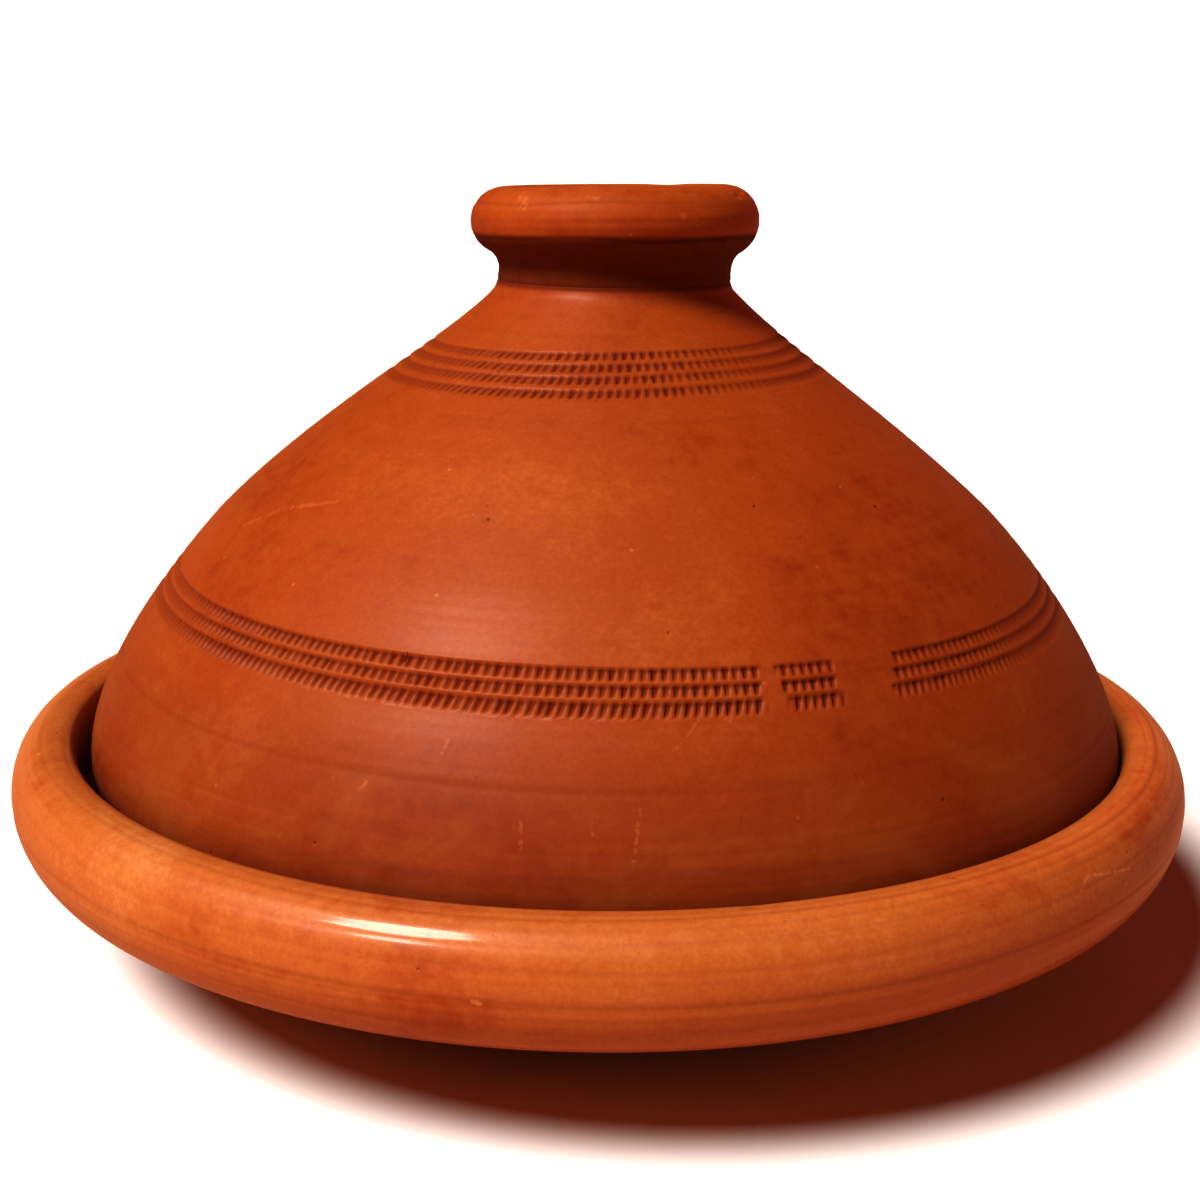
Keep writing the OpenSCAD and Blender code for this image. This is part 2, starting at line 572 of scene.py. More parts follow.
@dataclass
class Turned:
    """A piece thrown on the wheel.

    Attributes:
        name: the piece's name.
        node: the CAD node that it stands for.
        body: the moving body that it rides on.
        slot: the record's material slot; not used.
        points: points in a plain ring.
    """

    name: str
    node: str
    body: Body
    slot: Clay
    points: int

    def __post_init__(self) -> None:
        """Reads the node's box, in millimetres, and draws the outline."""
        low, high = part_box(self.node)
        self.low, self.high = np.array(low) / MM, np.array(high) / MM
        self.radius = 0.5 * (self.high[0] - self.low[0])
        self.centre_x = 0.5 * (self.high[0] + self.low[0])
        self.outline = Outline(self.draw_outline())

    def draw_outline(self) -> list[Stretch]:
        """Gives the stretches of the outline."""
        raise NotImplementedError

    def rings(self) -> list[Ring]:
        """Gives the rings of the mesh, from one end of the outline to the other."""
        stations = self.outline.stations()
        middle = [plain_ring(place, self.points) for place in stations[1:-1]]
        return [plain_ring(stations[0], 1)] + middle + [plain_ring(stations[-1], 1)]

    def marks(self, angle: Array, place: Array, radius: Array) -> Marks:
        """Gives the hand marks' push outwards and dirt and painted shade at each point."""
        return np.zeros_like(angle), np.zeros_like(angle)

    def drift(self, angle: Array, place: Array) -> Array:
        """Gives how far each point slides along the outline, so rings can lean and wander."""
        return np.zeros_like(angle)

    def settle(self, x: Array, y: Array, z: Array) -> tuple[Array, Array, Array]:
        """Moves finished points for what happened to the whole piece, such as a lean."""
        return x, y, z

    def build(self) -> bpy.types.Object:
        """Makes the piece's mesh.

        A point at angle a and place p is at (radius(p) cos a, radius(p) sin a, height(p)), pushed along the
        outline's outward direction.

        Returns:
            The finished object, riding on its body.
        """
        rings = self.rings()
        place = np.concatenate([r.place for r in rings])
        angle = np.concatenate([r.angle for r in rings])
        push = np.concatenate([r.push for r in rings])
        mark = np.concatenate([r.mark for r in rings])
        place = place + self.drift(angle, place)
        radius, height, out, up = self.outline.at(place)
        more, dirt_and_shade = self.marks(angle, place, radius)
        quiet = np.clip(radius / QUIET, 0.0, 1.0)
        push = push + more * quiet
        radius = radius + out * push
        height = height + up * push
        x, y, z = self.settle(radius * np.cos(angle), radius * np.sin(angle), height)
        verts = np.stack([x + self.centre_x, y, z], -1) * MM
        starts = np.concatenate([[0], np.cumsum([len(r.angle) for r in rings])])
        quads, triangles = [], []
        for i, (low, high) in enumerate(zip(rings[:-1], rings[1:])):
            four, three = stitch(low, high, int(starts[i]), int(starts[i + 1]))
            quads.append(four)
            triangles.append(three)
        faces = np.vstack(quads).tolist() + np.vstack(triangles).tolist()
        mesh = bpy.data.meshes.new(self.name)
        mesh.from_pydata(verts.tolist(), [], faces)
        mesh.update()
        mesh.shade_smooth()
        # The attribute holds dirt and painted shade: in pits and grooves, on the lute and in the knob's
        # recess.
        soot_and_shade = mesh.attributes.new(SOOT_AND_SHADE, "FLOAT", "POINT")
        soot_and_shade.data.foreach_set("value", np.clip(mark + dirt_and_shade, 0.0, 1.0).astype(np.float32))
        piece = bpy.data.objects.new(self.name, mesh)
        bpy.context.scene.collection.objects.link(piece)
        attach(piece, self.body.value)
        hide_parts(self.node)
        log.info("%s: %d points, %d faces", self.name, len(verts), len(faces))
        return piece


@dataclass
class Dish(Turned):
    """The cooking dish, with its fat rolled rim and the ledge inside it that carries the lid.

    Attributes:
        rim_half_width: half the thickness of the rolled rim, in millimetres, as are all sizes here.
        rim_half_height: half its height.
        rim_lean: its lean outwards, in degrees.
        base_radius: radius of the flat base.
        floor: thickness of the dish's floor.
        seat_radius: radius of the wall inside the rim, within which the lid sits.
        seat_rise: how far that wall reaches above the middle of the rim.
        ledge_width: width of the ledge that carries the lid.
        ledge_drop: how far the ledge lies below the middle of the rim.
        edge: size of the rounded edges.
        bowl_foot: how far the flat floor ends inside the base's edge.
    """

    rim_half_width: float = 10.7
    rim_half_height: float = 14.2
    rim_lean: float = 6.7
    base_radius: float = 90.0
    floor: float = 9.0
    seat_radius: float = 134.2
    ledge_width: float = 12.0
    ledge_drop: float = 4.0
    edge: float = 2.0
    seat_rise: float = 8.0
    bowl_foot: float = 20.0

    def rim_reach(self) -> float:
        """Gives how far the leaning rim reaches outwards from its middle."""
        tip = math.radians(self.rim_lean)
        return math.hypot(self.rim_half_width * math.cos(tip), self.rim_half_height * math.sin(tip))

    def draw_outline(self) -> list[Stretch]:
        """Draws the base, the wall, the rolled rim, the seat, the ledge, the bowl and its floor.

        Returns:
            The stretches, in order round the section.
        """
        tip = math.radians(self.rim_lean)
        rise = math.hypot(self.rim_half_height * math.cos(tip), self.rim_half_width * math.sin(tip))
        self.rim_height = self.high[2] - rise
        middle = (self.radius - self.rim_reach(), self.rim_height)
        sizes = (self.rim_half_width, self.rim_half_height)
        rim = roll(middle, *sizes, -120.0, 114.0, 0.5, self.rim_lean)
        seat, seat_top = self.seat_radius, self.rim_height + self.seat_rise
        ledge = self.rim_height - self.ledge_drop
        bowl = seat - self.ledge_width
        edge, base = self.edge, self.base_radius
        flat = (base - self.bowl_foot, self.floor)
        return [
            straight((0.0, 0.0), (base - edge, 0.0), 6.0),
            sweep((base - edge, 0.0), (edge, 0.0), (0.0, -edge), (base, edge), 0.5),
            sweep((base, edge), (14.0, 5.0), (-8.0, -9.0), rim.points[0], 2.4),
            rim,
            sweep(rim.points[-1], (-1.6, -0.8), (0.0, 2.5), (seat, seat_top), 0.6),
            straight((seat, seat_top), (seat, ledge + edge), 1.5),
            sweep((seat, ledge + edge), (0.0, -edge / 2), (edge / 2, 0.0), (seat - edge, ledge), 0.6),
            straight((seat - edge, ledge), (bowl, ledge), 1.6),
            sweep((bowl, ledge), (-edge / 2, 0.0), (0.0, edge / 2), (bowl - edge, ledge - edge), 0.6),
            sweep((bowl - edge, ledge - edge), (-3.0, -18.0), (26.0, 0.0), flat, 1.8),
            straight(flat, (0.0, self.floor), 2.0),
        ]

    def rim_place(self, degrees: float) -> float:
        """Finds a place on the rolled rim.

        Args:
            degrees: angle round the rim's section, where 0 is its outermost side and 90 its top.

        Returns:
            The place on the outline.
        """
        sizes = (self.rim_half_width, self.rim_half_height)
        spot = roll((self.radius, 0.0), *sizes, degrees, degrees, 1.0, self.rim_lean).points[0]
        return self.outline.nearest(spot[0] - self.rim_reach(), spot[1] + self.rim_height)

    def marks(self, angle: Array, place: Array, radius: Array) -> Marks:
        """Cuts the turning lines on the rim, the finger ridges in the bowl and a few small chips.

        Args:
            angle: each point's angle, in radians.
            place: each point's place on the outline.
            radius: the piece's radius at each point.

        Returns:
            The push outwards and the dirt and painted shade at each point.
        """
        grooves = (
            Groove(self.rim_place(84.0), 0.9, 0.16, 0.45, -10.0, 0.6, 0.55, 3),
            Groove(self.rim_place(97.0), 0.7, 0.08, 0.35, 20.0, 0.9, 0.30, 4),
            Groove(self.rim_place(70.0), 0.8, 0.06, 0.50, 0.0, 1.0, 0.30, 5),
            Groove(self.rim_place(56.0), 0.7, 0.05, 0.50, -10.0, 1.0, 0.25, 10),
            Groove(self.rim_place(34.0), 1.0, 0.05, 0.60, -40.0, 0.9, 0.22, 6),
            Groove(self.rim_place(5.0), 1.0, 0.12, 0.35, -75.0, 0.6, 0.34, 7),
            Groove(self.rim_place(-20.0), 1.2, 0.05, 0.50, -120.0, 0.9, 0.14, 8),
            Groove(self.rim_place(-48.0), 1.6, 0.07, 0.50, 60.0, 0.8, 0.16, 9),
        )
        on_rim = self.outline.joints[3] - 2.0, self.outline.joints[5]
        rim = np.clip(np.minimum(place - on_rim[0], on_rim[1] - place) / 3.0, 0.0, 1.0)
        inside = np.clip((place - self.outline.joints[8]) / 6.0, 0.0, 1.0)
        below = np.clip((self.outline.joints[3] - place) / 4.0, 0.0, 1.0)
        below *= np.clip((place - self.outline.joints[2]) / 4.0, 0.0, 1.0)
        push = rim * Ripple(0.16, 60.0, 400.0, 3, 21).at(angle, place)
        push += rim * Ripple(0.030, 1.6, 5.0, 1, 22, 18).at(angle, place)
        push += inside * Ripple(0.34, 6.0, 9.5, 1, 23, 10).at(angle, place)
        push += below * Ripple(0.22, 4.0, 12.0, 2, 24, 12).at(angle, place)
        dirt_and_shade = np.zeros_like(angle)
        scratch(grooves, push, dirt_and_shade, angle, place)
        chips = (
            Dent(-76.7, self.rim_place(106.0), 2.4, 1.2, 0.9),
            Dent(38.0, self.rim_place(100.0), 3.5, 1.6, 0.8),
            Dent(151.0, self.rim_place(20.0), 3.0, 2.0, 0.5),
        )
        for chip in chips:
            push += chip.at(angle, place, radius)
        return push, dirt_and_shade


@dataclass
class Lid(Turned):
    """The tall hollow cone of the lid, with its two bands of pressed teeth.

    Attributes:
        rim_height: height of the middle of the dish's rim, from which heights on the lid are counted.
        wall: thickness of the wall, in millimetres, as are all sizes here.
        crown_radius: radius at the foot of the knob.
        widest_rise: height of the lid's widest place above the rim.
        joint_in: radius at which the shoulder turns into the flank, as a share of the lid's radius.
        joint_up: height of that place, as a share of the climb from the rim to the crown.
        way: direction of the wall there, inwards and upwards.
        lean: how far the crown has slid to one side.
        lean_start: height above the rim at which the lean starts.
        lute_painted_shade: how dark the painted shade is on the clay that holds the knob, below the knob's
            shaded neck.
        shoulder: number of the outline's shoulder stretch. The flank follows it, and then the lute.
    """

    rim_height: float = 41.0
    wall: float = 8.0
    crown_radius: float = 30.0
    widest_rise: float = 8.0
    joint_in: float = 0.743
    joint_up: float = 0.537
    way: tuple[float, float] = (-0.714, 0.7)
    lean: float = 1.2
    lean_start: float = 92.0
    lute_painted_shade: float = 0.90
    shoulder: int = 7

    def draw_outline(self) -> list[Stretch]:
        """Draws the ceiling, the inside wall, the foot, the shoulder, the flank and the lute below the knob.

        The inside wall is the outside one moved in by the wall's thickness.

        Returns:
            The stretches, in order round the section.
        """
        foot, crown = self.low[2], self.high[2]
        climb = crown - self.rim_height
        widest = (self.radius, self.rim_height + self.widest_rise)
        flank = (self.joint_in * self.radius, self.rim_height + self.joint_up * climb)
        way = np.array(self.way)
        crown_foot = (self.crown_radius, crown - 2.0)
        collar = (self.crown_radius - 0.75, crown - 0.1)
        shoulder = sweep(widest, (0.0, 21.0), -4.4 * way, flank, 0.95)
        slope = sweep(flank, 33.4 * way, (13.6, -14.2), crown_foot, 1.0)
        skin = np.vstack([shoulder.points, slope.points[1:]])
        along = np.gradient(skin, axis=0)
        along /= np.linalg.norm(along, axis=1)[:, None]
        lining = (skin + self.wall * np.stack([-along[:, 1], along[:, 0]], -1))[::-1]
        top_inside = lining[0]
        foot_out = (self.radius - 0.9, foot + 3.0)
        foot_in = (lining[-1][0] - 0.2, foot + 3.0)
        return [
            sweep((0.0, crown - 6.0), (9.0, 0.0), (-4.0, 3.0), top_inside, 2.2),
            Stretch(lining, 2.6),
            sweep(lining[-1], (0.0, -3.0), (0.0, 2.0), foot_in, 2.0),
            sweep(foot_in, (0.0, -2.4), (-2.0, 0.0), (foot_in[0] + 3.0, foot), 0.7),
            straight((foot_in[0] + 3.0, foot), (self.radius - 3.5, foot), 1.5),
            sweep((self.radius - 3.5, foot), (1.8, 0.0), (0.0, -1.8), foot_out, 0.6),
            sweep(foot_out, (0.0, 3.0), (0.0, -3.0), widest, 1.0),
            shoulder,
            slope,
            sweep(crown_foot, (-0.25, 0.7), (0.1, -0.7), collar, 0.35),
            sweep(collar, (-0.1, 0.3), (0.5, 0.0), (collar[0] - 0.9, crown), 0.3),
            straight((collar[0] - 0.9, crown), (0.0, crown), 3.0),
        ]

    def bands(self) -> tuple[PressedBand, PressedBand]:
        """Presses the two bands.

        Returns:
            The shoulder band and the band below the knob.
        """
        shoulder = PressedBand(
            tops=(53.5, 50.6, 47.8), tall=(2.9, 2.8, 3.4), pitch=2.1, depth=0.80, slant=(0.14, 0.20, 0.42),
            runs=(Run(-57.0, 343.9, 0.8, 0.2), Run(-72.0, 7.3, -0.4, 0.0)),
            angles=(-180.0, -165.0, -152.0, -140.0, -76.0, -68.0, -56.0, -44.0, -36.0, -12.0, 12.0, 45.0,
                    80.0, 110.0, 140.0, 165.0),
            clear=(0.15, 0.10, 0.35, 0.95, 1.0, 1.0, 0.85, 0.55, 0.12, 0.05, 0.45, 0.95, 0.9, 0.4, 0.8, 0.3),
            firm=(0.75, 0.70, 0.85, 1.0, 1.0, 0.9, 0.8, 0.8, 0.75, 0.75, 0.85, 1.0, 0.9, 0.8, 1.0, 0.85),
            seed=40,
        )
        below_knob = PressedBand(
            tops=(109.65, 107.3, 104.95, 102.35), tall=(2.75, 2.8, 2.95, 3.1), pitch=2.1, depth=0.68,
            slant=(0.12, 0.15, 0.18, 0.22),
            runs=(Run(0.0, 360.0),),
            angles=(-175.0, -150.0, -132.0, -120.0, -80.0, -68.0, -56.0, -45.0, -20.0, 15.0, 50.0, 85.0,
                    120.0, 150.0),
            clear=(0.05, 0.20, 0.55, 1.0, 1.0, 0.75, 0.35, 0.10, 0.05, 0.4, 0.9, 0.8, 0.3, 0.15),
            firm=(0.95, 0.95, 0.95, 1.0, 0.9, 0.8, 0.75, 0.8, 0.85, 0.9, 1.0, 0.9, 0.9, 0.95),
            seed=60,
        )
        return shoulder, below_knob

    def row_places(self, band: PressedBand) -> list[float]:
        """Finds a band's rows on the outline.

        Args:
            band: the band.

        Returns:
            The places of its rows' upper edges, highest first.
        """
        stretches = (self.shoulder, self.shoulder + 1)
        joint = np.searchsorted(self.outline.places, self.outline.joints[self.shoulder + 1])
        split = self.outline.points[joint][1]
        heights = [self.rim_height + top for top in band.tops]
        return [self.outline.place_at_height(h, stretches[int(h > split)]) for h in heights]

    def rings(self) -> list[Ring]:
        """Puts each pressed row's own finer rings in place of the plain ones that it covers.

        Returns:
            The rings, in order along the outline.
        """
        plain = super().rings()
        rows = []
        for band in self.bands():
            for number, top in enumerate(self.row_places(band)):
                radius = float(self.outline.at(np.array([top]))[0][0])
                rows.append(band.rings(number, top, radius))
        rows.sort(key=lambda row: row[0].place[0])
        kept = []
        room = 0.25
        for ring in plain:
            covered = any(r[0].place[0] - room < ring.place[0] < r[-1].place[0] + room for r in rows)
            if not covered:
                kept.append(ring)
        for row in rows:
            kept.extend(row)
        kept.sort(key=lambda ring: ring.place[0])
        return kept

    def drift(self, angle: Array, place: Array) -> Array:
        """Gives the lean and wander of the pressed bands.

        The wheel was held a little skew: one side of a band runs higher than the other, by an amount that
        grows to its full value at the band and fades away from it.

        Args:
            angle: each point's angle, in radians.
            place: each point's place on the outline.

        Returns:
            How far each point slides along the outline.
        """
        shoulder, below_knob = (self.row_places(band) for band in self.bands())
        ends = self.outline.joints[self.shoulder - 1], self.outline.joints[self.shoulder + 2]
        stops = [ends[0], shoulder[-1], shoulder[0], below_knob[-1], below_knob[0], ends[1]]
        skew = np.interp(place, stops, [0.0, -1.2, -1.2, 1.7, 1.7, 0.0])
        calm = np.interp(place, stops, [0.0, 1.0, 1.0, 1.0, 1.0, 0.0])
        wave = Ripple(0.18, 40.0, 120.0, 5, 31, 8).at(angle, place)
        return skew * np.cos(angle) + calm * wave

    def marks(self, angle: Array, place: Array, radius: Array) -> Marks:
        """Scrapes faint lines outside and presses finger ridges inside, and paints shade on the lute at the
        knob.

        Args:
            angle: each point's angle, in radians.
            place: each point's place on the outline.
            radius: the piece's radius at each point.

        Returns:
            The push outwards and the dirt and painted shade at each point.
        """
        joints = self.outline.joints
        out = np.clip((place - joints[self.shoulder - 1]) / 6.0, 0.0, 1.0)
        out *= np.clip((joints[self.shoulder + 2] - place) / 2.0, 0.0, 1.0)
        inner = np.clip((joints[2] - place) / 8.0, 0.0, 1.0)
        push = out * Ripple(0.22, 50.0, 200.0, 3, 32).at(angle, place)
        push += out * Ripple(0.020, 2.4, 8.0, 1, 33, 18).at(angle, place)
        push += inner * Ripple(0.45, 6.0, 10.0, 1, 34, 10).at(angle, place)
        high = self.outline.place_at_height(self.rim_height + 96.0, self.shoulder + 1)
        low = self.outline.place_at_height(self.rim_height + 22.0, self.shoulder)
        middle = self.outline.place_at_height(self.rim_height + 33.0, self.shoulder)
        lines = (
            Groove(high, 0.9, 0.05, 0.4, -30.0, 0.9, 0.18, 35),
            Groove(low, 1.2, 0.06, 0.5, -60.0, 0.8, 0.22, 36),
            Groove(middle, 1.0, 0.05, 0.5, -130.0, 0.8, 0.18, 37),
        )
        # Painted shade on the lute just below the knob, running on from the knob's shaded neck.
        dirt_and_shade = self.lute_painted_shade * np.clip((place - joints[self.shoulder + 2] - 0.5) / 1.2, 0.0, 1.0)
        scratch(lines, push, dirt_and_shade, angle, place)
        return push, dirt_and_shade

    def settle(self, x: Array, y: Array, z: Array) -> tuple[Array, Array, Array]:
        """Leans the crown a little to one side: above the shoulder, points slide over as they rise."""
        start = self.rim_height + self.lean_start
        lift = np.clip((z - start) / (self.high[2] - start), 0.0, 1.0)
        return x + self.lean * lift * lift * (3.0 - 2.0 * lift), y, z


@dataclass
class Knob(Turned):
    """The knob: a thick flared cup with a rolled lip, set a little askew.

    Attributes:
        neck_radius: radius of the neck at its foot, in millimetres, as are all sizes here.
        lip_half_width: half the thickness of the rolled lip.
        lip_half_height: half its height.
        floor: height of the cup's floor above the knob's foot.
        floor_radius: radius of that flat floor.
        sunk: how far the foot is sunk into the lute.
        askew: how steeply the lip is tipped to one side.
        settled: how far the lip has sunk as a whole.
        recess_painted_shade: how dark the painted shade is in the recess below the lip, where the lip shades
            the neck.
        recess_reach: how far that reaches onto the lip.
    """

    neck_radius: float = 29.2
    lip_half_width: float = 8.3
    lip_half_height: float = 8.5
    floor: float = 7.0
    floor_radius: float = 9.0
    sunk: float = 0.3
    askew: float = 0.020
    settled: float = 0.3
    recess_painted_shade: float = 0.86
    recess_reach: float = 6.4

    def draw_outline(self) -> list[Stretch]:
        """Draws the underside, the neck, the rolled lip, the inside of the cup and its floor.

        Returns:
            The stretches, in order round the section.
        """
        foot, top = self.low[2], self.high[2]
        middle = (self.radius - self.lip_half_width, top - self.lip_half_height)
        lip = roll(middle, self.lip_half_width, self.lip_half_height, -60.0, 195.0, 0.5)
        neck = (self.neck_radius, foot + 1.0)
        flare = sweep(neck, (-0.5, 3.2), (-2.2, -1.3), lip.points[0], 0.5)
        corner = (self.neck_radius - 0.2, foot - self.sunk)
        flat = (self.floor_radius, foot + self.floor)
        return [
            straight((0.0, corner[1]), corner, 3.0),
            sweep(corner, (0.1, 0.3), (0.0, -0.4), neck, 0.4),
            flare,
            lip,
            sweep(lip.points[-1], (0.4, -2.0), (9.0, 0.0), flat, 0.7),
            straight(flat, (0.0, flat[1]), 1.0),
        ]

    def marks(self, angle: Array, place: Array, radius: Array) -> Marks:
        """Makes the lip uneven and pitted, cuts its turning lines and paints shade into the recess below it.

        Args:
            angle: each point's angle, in radians.
            place: each point's place on the outline.
            radius: the piece's radius at each point.

        Returns:
            The push outwards and the dirt and painted shade at each point.
        """
        joints = self.outline.joints
        lip = np.clip((place - joints[2]) / 3.0, 0.0, 1.0)
        cup = np.clip((place - joints[4]) / 3.0, 0.0, 1.0)
        push = lip * Ripple(0.14, 30.0, 90.0, 3, 51).at(angle, place)
        push += lip * Ripple(0.035, 1.8, 5.0, 2, 52, 16).at(angle, place)
        push += cup * Ripple(0.20, 4.0, 7.0, 1, 53, 8).at(angle, place)
        crest = self.outline.nearest(self.radius - self.lip_half_width, self.high[2])
        belly = self.outline.nearest(self.radius, self.high[2] - self.lip_half_height)
        lumps = (
            Dent(-102.0, crest, 2.8, 2.2, -0.60),
            Dent(-123.0, crest - 4.0, 1.6, 0.8, 0.25),
            Dent(-115.0, crest - 4.2, 0.8, 0.7, 0.55),
            Dent(-58.0, crest - 5.0, 1.8, 0.5, 0.25),
            Dent(-52.0, crest - 5.8, 1.0, 0.4, 0.25),
            Dent(-28.0, crest - 6.5, 1.2, 0.8, 0.60),
            Dent(-22.0, crest - 5.5, 0.8, 0.8, 0.50),
            Dent(60.0, crest, 5.0, 3.0, 0.30),
            Dent(140.0, crest - 5.0, 1.2, 0.9, 0.50),
        )
        for lump in lumps:
            push += lump.at(angle, place, radius)
        lines = (
            Groove(belly + 5.0, 0.9, 0.06, 0.4, -100.0, 0.7, 0.25, 55),
            Groove(belly - 3.5, 0.8, 0.07, 0.4, -40.0, 0.7, 0.30, 56),
        )
        # Painted shade over the neck, from its foot up under the lip, where the lip's shadow falls.
        recess_shade = np.clip((place - joints[1] + 1.0) / 0.8, 0.0, 1.0)
        recess_shade *= np.clip((joints[3] + self.recess_reach - place) / 1.2, 0.0, 1.0)
        dirt_and_shade = self.recess_painted_shade * recess_shade
        scratch(lines, push, dirt_and_shade, angle, place)
        return push, dirt_and_shade

    def settle(self, x: Array, y: Array, z: Array) -> tuple[Array, Array, Array]:
        """Tips the lip: it stands higher on one side, in proportion to the height above the neck."""
        lift = np.clip((z - self.low[2]) / (self.high[2] - self.low[2]), 0.0, 1.0)
        return x, y, z + self.askew * x * lift - self.settled * lift


# ---------------------------------------------------------------------------------------------------------
# Finishes
# ---------------------------------------------------------------------------------------------------------


class Val:
    """A number that flows through a material, so that shader sums are written like ordinary ones."""

    def __init__(self, bench: "Bench", socket: bpy.types.NodeSocket) -> None:
        """Wraps a socket of the bench's material."""
        self.bench = bench
        self.socket = socket

    def __add__(self, other: "Val | float") -> "Val":
        """Adds."""
        return self.bench.math(Sum.ADD, self, other)

    def __radd__(self, other: float) -> "Val":
        """Adds."""
        return self.bench.math(Sum.ADD, other, self)

    def __sub__(self, other: "Val | float") -> "Val":
        """Takes away."""
        return self.bench.math(Sum.TAKE, self, other)

    def __rsub__(self, other: float) -> "Val":
        """Takes away."""
        return self.bench.math(Sum.TAKE, other, self)

    def __mul__(self, other: "Val | float") -> "Val":
        """Multiplies."""
        return self.bench.math(Sum.TIMES, self, other)

    def __rmul__(self, other: float) -> "Val":
        """Multiplies."""
        return self.bench.math(Sum.TIMES, other, self)

    def __truediv__(self, other: "Val | float") -> "Val":
        """Divides."""
        return self.bench.math(Sum.OVER, self, other)

    def clamp(self) -> "Val":
        """Holds the number between 0 and 1."""
        return self.bench.range(self, 0.0, 1.0, Ramp.EVEN)

    def rise(self, low: float, high: float) -> "Val":
        """Goes smoothly from 0 at low to 1 at high."""
        return self.bench.range(self, low, high)


class Bench:
    """Where a material is put together, node by node."""

    def __init__(self, name: str) -> None:
        """Starts a material with nothing in it.

        Args:
            name: the material's name.
        """
        self.material = bpy.data.materials.new(name)
        self.material.use_nodes = True
        self.tree = self.material.node_tree
        self.tree.nodes.clear()

    def node(self, kind: str, settings: dict | None = None, sockets: dict | None = None) -> bpy.types.Node:
        """Adds a node.

        Args:
            kind: the node's type.
            settings: its properties, which are set first.
            sockets: what goes into its inputs, by name or number: a Val, a socket or a plain value.

        Returns:
            The node.
        """
        made = self.tree.nodes.new(kind)
        for key, value in (settings or {}).items():
            setattr(made, key, value)
        for key, value in (sockets or {}).items():
            target = made.inputs[key]
            if isinstance(value, Val):
                value = value.socket
            if isinstance(value, bpy.types.NodeSocket):
                self.tree.links.new(value, target)
            else:
                target.default_value = value
        return made

    def math(self, operation: Sum, first: Val | float, second: Val | float = 0.0) -> Val:
        """Adds a Math node and gives its result."""
        made = self.node("ShaderNodeMath", {"operation": operation.value}, {0: first, 1: second})
        return Val(self, made.outputs[0])

    def range(self, value: Val, low: float, high: float, ramp: Ramp = Ramp.SOFT) -> Val:
        """Maps low to 0 and high to 1 and holds the result between them."""
        settings = {"interpolation_type": ramp.value}
        made = self.node("ShaderNodeMapRange", settings, {0: value, 1: low, 2: high})
        return Val(self, made.outputs[0])

    def stretched(self, spot: bpy.types.NodeSocket, scale: Way) -> bpy.types.NodeSocket:
        """Stretches the coordinates by a factor for each axis."""
        made = self.node("ShaderNodeMapping", {"vector_type": "POINT"}, {"Vector": spot, "Scale": scale})
        return made.outputs["Vector"]

    def noise(self, spot: bpy.types.NodeSocket, scale: float, detail: float = 3.0, rough: float = 0.5,
              warp: float = 0.0) -> Val:
        """Adds soft random patches.

        Args:
            spot: the coordinates.
            scale: patches to a metre.
            detail: how many finer layers are laid over them.
            rough: how strong the finer layers are, from 0 to 1.
            warp: how much the patches are twisted.

        Returns:
            A number from 0 to 1.
        """
        made = self.node(
            "ShaderNodeTexNoise", {"noise_dimensions": "3D"},
            {"Vector": spot, "Scale": scale, "Detail": detail, "Roughness": rough, "Distortion": warp})
        return Val(self, made.outputs[0])

    def specks(self, spot: bpy.types.NodeSocket, scale: float, size: float, empty: float,
               full: float) -> Val:
        """Scatters small round specks.

        Args:
            spot: the coordinates.
            scale: places for a speck to a metre.
            size: radius of a speck, as a share of the distance between places.
            empty: share of the places that stay empty, from 0 to 1.
            full: share of the places beyond which specks have their full strength.

        Returns:
            1 in the middle of a speck and 0 outside.
        """
        made = self.node("ShaderNodeTexVoronoi", {"feature": "F1"}, {"Vector": spot, "Scale": scale})
        apart = self.node("ShaderNodeSeparateColor", {}, {0: made.outputs["Color"]})
        gap, luck = Val(self, made.outputs["Distance"]), Val(self, apart.outputs[0])
        return (1.0 - gap.rise(0.03, size)) * luck.rise(empty, full)

    def mix(self, factor: Val | float, first: Paint, second: Paint) -> bpy.types.NodeSocket:
        """Mixes two colours.

        Args:
            factor: 0 for all of the first and 1 for all of the second.
            first: a colour, or the socket of one.
            second: another.

        Returns:
            The mixed colour's socket.
        """
        colours = {6: self.colour(first), 7: self.colour(second)}
        made = self.node("ShaderNodeMix", {"data_type": "RGBA"}, {0: factor, **colours})
        return made.outputs[2]

    @staticmethod
    def colour(value: Paint) -> bpy.types.NodeSocket | tuple[float, ...]:
        """Gives a colour triple its fourth part and leaves a socket as it is."""
        return (*value, 1.0) if isinstance(value, tuple) else value


@dataclass(frozen=True)
class Stroke:
    """A pale scrape: a thin line from one point of the surface to another.

    Attributes:
        angles: angles of its two ends, in degrees.
        heights: heights of its two ends above the table, in millimetres.
        width: its width, in millimetres.
        strength: how much it shows, from 0 to 1.
    """

    angles: tuple[float, float]
    heights: tuple[float, float]
    width: float
    strength: float

    def mask(self, bench: Bench, marks: "Patterns", radius: float) -> Val:
        """Draws the stroke with frayed edges and gaps.

        It depends on the distance to the line between the two ends, measured on the surface unrolled at the
        given radius.

        Args:
            bench: the material's bench.
            marks: the material's patterns.
            radius: radius at which the surface is unrolled, in metres.

        Returns:
            The stroke's strength over the surface.
        """
        ends = [math.radians(a) * radius for a in self.angles]
        step = ends[1] - ends[0], (self.heights[1] - self.heights[0]) * MM
        span = step[0] ** 2 + step[1] ** 2
        across, above = marks.around * radius - ends[0], marks.height - self.heights[0] * MM
        along = ((across * step[0] + above * step[1]) / span).clamp()
        side, lift = across - along * step[0], above - along * step[1]
        gap = bench.math(Sum.ROOT, side * side + lift * lift)
        width = self.width * MM
        edge = gap + (marks.fray - 0.5) * (3.2 * width)
        gaps = marks.fray.rise(0.62, 0.42)
        return (1.0 - edge.rise(0.1 * width, 0.9 * width)) * gaps * self.strength


